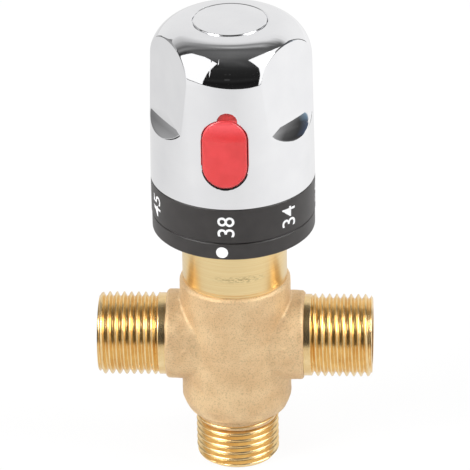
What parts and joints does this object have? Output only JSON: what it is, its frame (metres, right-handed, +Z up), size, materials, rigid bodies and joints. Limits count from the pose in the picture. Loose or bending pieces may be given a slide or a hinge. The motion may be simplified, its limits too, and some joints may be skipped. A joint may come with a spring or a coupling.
{
  "type": "thermostatic mixing valve",
  "caption": "Brass T-shaped thermostatic mixing valve with threaded hot, cold and mixed ends, a chromed temperature knob and a red push button.",
  "frame": {"origin": "centre of the outlet's end face, the lowest point of the part", "axes": "+Z up the cartridge and knob axis, -X out of the hot inlet, +X out of the cold inlet, -Y towards the push button"},
  "size_m": [0.0692, 0.0414, 0.1224],
  "materials": {
    "cast_brass": "sand-cast with bright turned threads and neck",
    "turned_brass": "turned",
    "chrome_plate": "polished chrome plate",
    "black_plastic": "satin black",
    "red_plastic": "gloss red",
    "cage_plastic": "moulded engineering plastic",
    "washer_plastic": "natural acetal",
    "seal_rubber": "nitrile rubber",
    "spring_steel": "stainless steel",
    "element_copper": "drawn copper"
  },
  "bodies": {
    "base": {"valve_body": "cast_brass", "cartridge_cage": "cage_plastic", "cage_base": "cage_plastic", "cage_seals": "seal_rubber", "return_spring": "spring_steel", "thrust_washer": "washer_plastic", "cartridge_head": "turned_brass", "head_seal": "seal_rubber", "stop_ring": "washer_plastic", "stop_ring_clip": "spring_steel", "index_ring": "black_plastic", "hot_check_cage": "cage_plastic", "hot_check_spring": "spring_steel", "hot_strainer": "spring_steel", "cold_check_cage": "cage_plastic", "cold_check_spring": "spring_steel", "cold_strainer": "spring_steel"},
    "knob": {"knob_shell": "chrome_plate", "scale_ring": "black_plastic", "knob_hub": "washer_plastic", "screw_washer": "spring_steel", "knob_screw": "spring_steel", "top_cap": "chrome_plate", "spindle": "turned_brass", "spindle_seal": "seal_rubber", "button_spring": "spring_steel"},
    "button": {"button": "red_plastic"},
    "nut": {"adjusting_nut": "turned_brass", "overload_clip": "spring_steel", "overload_spring": "spring_steel"},
    "plunger": {"overload_plunger": "turned_brass", "element_piston": "spring_steel"},
    "element": {"wax_element": "element_copper", "shuttle": "cage_plastic", "shuttle_seal": "seal_rubber"},
    "hot_poppet": {"hot_check_poppet": "cage_plastic"},
    "cold_poppet": {"cold_check_poppet": "cage_plastic"}
  },
  "joints": [
    {"name": "knob_turn", "type": "hinge", "parent": "base", "child": "knob", "pos_m": [0, 0, 0.09], "axis": [0, 0, 1], "range_deg": [-138, 110]},
    {"name": "nut_travel", "type": "slide", "parent": "base", "child": "nut", "axis": [0, 0, 1], "range_m": [-0.0008, 0.0008]},
    {"name": "overload_give", "type": "slide", "parent": "nut", "child": "plunger", "axis": [0, 0, 1], "range_m": [0, 0.0012], "stiffness_N_per_m": 6000, "springref_m": -0.002, "deforming": ["overload_spring"]},
    {"name": "element_stroke", "type": "slide", "parent": "plunger", "child": "element", "axis": [0, 0, -1], "range_m": [-0.0005, 0.0008], "stiffness_N_per_m": 1500, "deforming": ["return_spring"]},
    {"name": "button_press", "type": "slide", "parent": "knob", "child": "button", "axis": [0.0349, 0.9994, 0], "range_m": [0, 0.0025], "stiffness_N_per_m": 800, "springref_m": -0.001, "deforming": ["button_spring"]},
    {"name": "hot_check_lift", "type": "slide", "parent": "base", "child": "hot_poppet", "axis": [1, 0, 0], "range_m": [0, 0.002], "stiffness_N_per_m": 120, "springref_m": -0.002, "deforming": ["hot_check_spring"]},
    {"name": "cold_check_lift", "type": "slide", "parent": "base", "child": "cold_poppet", "axis": [-1, 0, 0], "range_m": [0, 0.002], "stiffness_N_per_m": 120, "springref_m": -0.002, "deforming": ["cold_check_spring"]}
  ],
  "couplings": [
    {"joint": "nut_travel", "follows": "knob_turn", "m_per_rad": 0.00031831}
  ]
}
